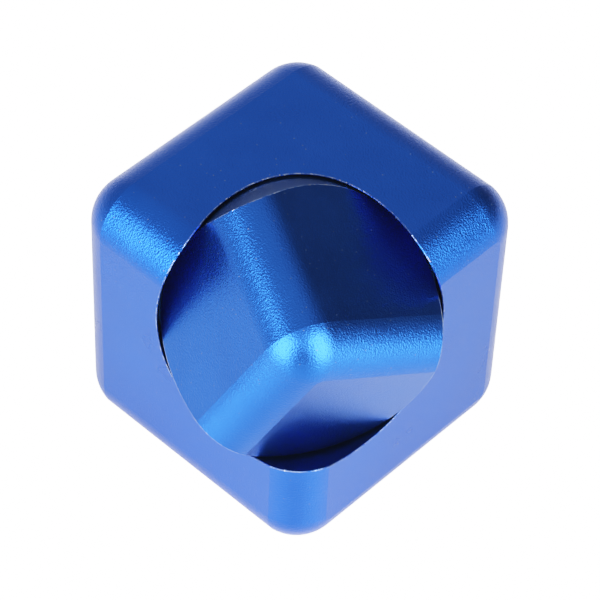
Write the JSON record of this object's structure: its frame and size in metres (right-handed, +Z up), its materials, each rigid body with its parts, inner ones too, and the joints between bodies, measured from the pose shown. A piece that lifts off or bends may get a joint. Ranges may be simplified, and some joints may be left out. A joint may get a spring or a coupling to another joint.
{
  "type": "fidget spinner cube",
  "caption": "Rounded metal cube whose two opposite corners are round-cut caps, each spinning about the body diagonal on its own sealed ball bearing.",
  "frame": {"origin": "centre of the cube, on the spin axis, midway between the two bearings", "axes": "+Z up out of the top face; +X and -Y out of the two side faces next to the turned near corner; the spin axis runs along (1, -1, 1) from the far bottom corner to the near top corner"},
  "size_m": [0.0277, 0.0277, 0.0277],
  "materials": {
    "blue_anodised": "fine bead-blasted and blue anodised, satin",
    "axle_steel": "turned stainless steel",
    "washer_steel": "ground stainless steel shim",
    "race_steel": "ground bearing steel",
    "shield_steel": "pressed stainless sheet and wire",
    "cage_steel": "pressed stainless steel",
    "ball_steel": "polished bearing steel"
  },
  "bodies": {
    "cube": {"outer_cube": "blue_anodised", "axle_post": "axle_steel", "axle_screw": "axle_steel", "near_washer": "washer_steel", "near_inner_race": "race_steel", "far_washer": "washer_steel", "far_inner_race": "race_steel"},
    "near_cap": {"near_corner_cap": "blue_anodised", "near_outer_race": "race_steel", "near_outer_shield": "shield_steel", "near_inner_shield": "shield_steel", "near_outer_snap_ring": "shield_steel", "near_inner_snap_ring": "shield_steel"},
    "near_cage": {"near_cage": "cage_steel"},
    "near_ball_01": {"near_ball_01": "ball_steel"},
    "near_ball_02": {"near_ball_02": "ball_steel"},
    "near_ball_03": {"near_ball_03": "ball_steel"},
    "near_ball_04": {"near_ball_04": "ball_steel"},
    "near_ball_05": {"near_ball_05": "ball_steel"},
    "near_ball_06": {"near_ball_06": "ball_steel"},
    "near_ball_07": {"near_ball_07": "ball_steel"},
    "near_ball_08": {"near_ball_08": "ball_steel"},
    "near_ball_09": {"near_ball_09": "ball_steel"},
    "near_ball_10": {"near_ball_10": "ball_steel"},
    "far_cap": {"far_corner_cap": "blue_anodised", "far_outer_race": "race_steel", "far_outer_shield": "shield_steel", "far_inner_shield": "shield_steel", "far_outer_snap_ring": "shield_steel", "far_inner_snap_ring": "shield_steel"},
    "far_cage": {"far_cage": "cage_steel"},
    "far_ball_01": {"far_ball_01": "ball_steel"},
    "far_ball_02": {"far_ball_02": "ball_steel"},
    "far_ball_03": {"far_ball_03": "ball_steel"},
    "far_ball_04": {"far_ball_04": "ball_steel"},
    "far_ball_05": {"far_ball_05": "ball_steel"},
    "far_ball_06": {"far_ball_06": "ball_steel"},
    "far_ball_07": {"far_ball_07": "ball_steel"},
    "far_ball_08": {"far_ball_08": "ball_steel"},
    "far_ball_09": {"far_ball_09": "ball_steel"},
    "far_ball_10": {"far_ball_10": "ball_steel"}
  },
  "joints": [
    {"name": "near_cap_spin", "type": "hinge", "parent": "cube", "child": "near_cap", "pos_m": [0.00241, -0.00241, 0.00241], "axis": [0.5774, -0.5774, 0.5774], "continuous": true},
    {"name": "near_cage_spin", "type": "hinge", "parent": "cube", "child": "near_cage", "pos_m": [0.00241, -0.00241, 0.00241], "axis": [0.5774, -0.5774, 0.5774], "continuous": true},
    {"name": "near_ball_01_roll", "type": "hinge", "parent": "near_cage", "child": "near_ball_01", "pos_m": [0.00578, 0.00095, 0.00241], "axis": [0.5774, -0.5774, 0.5774], "continuous": true},
    {"name": "near_ball_02_roll", "type": "hinge", "parent": "near_cage", "child": "near_ball_02", "pos_m": [0.004, 0.00145, 0.0047], "axis": [0.5774, -0.5774, 0.5774], "continuous": true},
    {"name": "near_ball_03_roll", "type": "hinge", "parent": "near_cage", "child": "near_ball_03", "pos_m": [0.00161, 0.00048, 0.00611], "axis": [0.5774, -0.5774, 0.5774], "continuous": true},
    {"name": "near_ball_04_roll", "type": "hinge", "parent": "near_cage", "child": "near_ball_04", "pos_m": [-0.00048, -0.00161, 0.00611], "axis": [0.5774, -0.5774, 0.5774], "continuous": true},
    {"name": "near_ball_05_roll", "type": "hinge", "parent": "near_cage", "child": "near_ball_05", "pos_m": [-0.00145, -0.004, 0.0047], "axis": [0.5774, -0.5774, 0.5774], "continuous": true},
    {"name": "near_ball_06_roll", "type": "hinge", "parent": "near_cage", "child": "near_ball_06", "pos_m": [-0.00095, -0.00578, 0.00241], "axis": [0.5774, -0.5774, 0.5774], "continuous": true},
    {"name": "near_ball_07_roll", "type": "hinge", "parent": "near_cage", "child": "near_ball_07", "pos_m": [0.00083, -0.00628, 0.00013], "axis": [0.5774, -0.5774, 0.5774], "continuous": true},
    {"name": "near_ball_08_roll", "type": "hinge", "parent": "near_cage", "child": "near_ball_08", "pos_m": [0.00322, -0.0053, -0.00128], "axis": [0.5774, -0.5774, 0.5774], "continuous": true},
    {"name": "near_ball_09_roll", "type": "hinge", "parent": "near_cage", "child": "near_ball_09", "pos_m": [0.0053, -0.00322, -0.00128], "axis": [0.5774, -0.5774, 0.5774], "continuous": true},
    {"name": "near_ball_10_roll", "type": "hinge", "parent": "near_cage", "child": "near_ball_10", "pos_m": [0.00628, -0.00083, 0.00013], "axis": [0.5774, -0.5774, 0.5774], "continuous": true},
    {"name": "far_cap_spin", "type": "hinge", "parent": "cube", "child": "far_cap", "pos_m": [-0.00241, 0.00241, -0.00241], "axis": [-0.5774, 0.5774, -0.5774], "continuous": true},
    {"name": "far_cage_spin", "type": "hinge", "parent": "cube", "child": "far_cage", "pos_m": [-0.00241, 0.00241, -0.00241], "axis": [-0.5774, 0.5774, -0.5774], "continuous": true},
    {"name": "far_ball_01_roll", "type": "hinge", "parent": "far_cage", "child": "far_ball_01", "pos_m": [0.00095, 0.00578, -0.00241], "axis": [-0.5774, 0.5774, -0.5774], "continuous": true},
    {"name": "far_ball_02_roll", "type": "hinge", "parent": "far_cage", "child": "far_ball_02", "pos_m": [0.00145, 0.004, -0.0047], "axis": [-0.5774, 0.5774, -0.5774], "continuous": true},
    {"name": "far_ball_03_roll", "type": "hinge", "parent": "far_cage", "child": "far_ball_03", "pos_m": [0.00048, 0.00161, -0.00611], "axis": [-0.5774, 0.5774, -0.5774], "continuous": true},
    {"name": "far_ball_04_roll", "type": "hinge", "parent": "far_cage", "child": "far_ball_04", "pos_m": [-0.00161, -0.00048, -0.00611], "axis": [-0.5774, 0.5774, -0.5774], "continuous": true},
    {"name": "far_ball_05_roll", "type": "hinge", "parent": "far_cage", "child": "far_ball_05", "pos_m": [-0.004, -0.00145, -0.0047], "axis": [-0.5774, 0.5774, -0.5774], "continuous": true},
    {"name": "far_ball_06_roll", "type": "hinge", "parent": "far_cage", "child": "far_ball_06", "pos_m": [-0.00578, -0.00095, -0.00241], "axis": [-0.5774, 0.5774, -0.5774], "continuous": true},
    {"name": "far_ball_07_roll", "type": "hinge", "parent": "far_cage", "child": "far_ball_07", "pos_m": [-0.00628, 0.00083, -0.00013], "axis": [-0.5774, 0.5774, -0.5774], "continuous": true},
    {"name": "far_ball_08_roll", "type": "hinge", "parent": "far_cage", "child": "far_ball_08", "pos_m": [-0.0053, 0.00322, 0.00128], "axis": [-0.5774, 0.5774, -0.5774], "continuous": true},
    {"name": "far_ball_09_roll", "type": "hinge", "parent": "far_cage", "child": "far_ball_09", "pos_m": [-0.00322, 0.0053, 0.00128], "axis": [-0.5774, 0.5774, -0.5774], "continuous": true},
    {"name": "far_ball_10_roll", "type": "hinge", "parent": "far_cage", "child": "far_ball_10", "pos_m": [-0.00083, 0.00628, -0.00013], "axis": [-0.5774, 0.5774, -0.5774], "continuous": true}
  ],
  "couplings": [
    {"joint": "near_cage_spin", "follows": "near_cap_spin", "ratio": 0.58336},
    {"joint": "near_ball_01_roll", "follows": "near_cap_spin", "ratio": 2.9157},
    {"joint": "near_ball_02_roll", "follows": "near_cap_spin", "ratio": 2.9157},
    {"joint": "near_ball_03_roll", "follows": "near_cap_spin", "ratio": 2.9157},
    {"joint": "near_ball_04_roll", "follows": "near_cap_spin", "ratio": 2.9157},
    {"joint": "near_ball_05_roll", "follows": "near_cap_spin", "ratio": 2.9157},
    {"joint": "near_ball_06_roll", "follows": "near_cap_spin", "ratio": 2.9157},
    {"joint": "near_ball_07_roll", "follows": "near_cap_spin", "ratio": 2.9157},
    {"joint": "near_ball_08_roll", "follows": "near_cap_spin", "ratio": 2.9157},
    {"joint": "near_ball_09_roll", "follows": "near_cap_spin", "ratio": 2.9157},
    {"joint": "near_ball_10_roll", "follows": "near_cap_spin", "ratio": 2.9157},
    {"joint": "far_cage_spin", "follows": "far_cap_spin", "ratio": 0.58336},
    {"joint": "far_ball_01_roll", "follows": "far_cap_spin", "ratio": 2.9157},
    {"joint": "far_ball_02_roll", "follows": "far_cap_spin", "ratio": 2.9157},
    {"joint": "far_ball_03_roll", "follows": "far_cap_spin", "ratio": 2.9157},
    {"joint": "far_ball_04_roll", "follows": "far_cap_spin", "ratio": 2.9157},
    {"joint": "far_ball_05_roll", "follows": "far_cap_spin", "ratio": 2.9157},
    {"joint": "far_ball_06_roll", "follows": "far_cap_spin", "ratio": 2.9157},
    {"joint": "far_ball_07_roll", "follows": "far_cap_spin", "ratio": 2.9157},
    {"joint": "far_ball_08_roll", "follows": "far_cap_spin", "ratio": 2.9157},
    {"joint": "far_ball_09_roll", "follows": "far_cap_spin", "ratio": 2.9157},
    {"joint": "far_ball_10_roll", "follows": "far_cap_spin", "ratio": 2.9157}
  ]
}
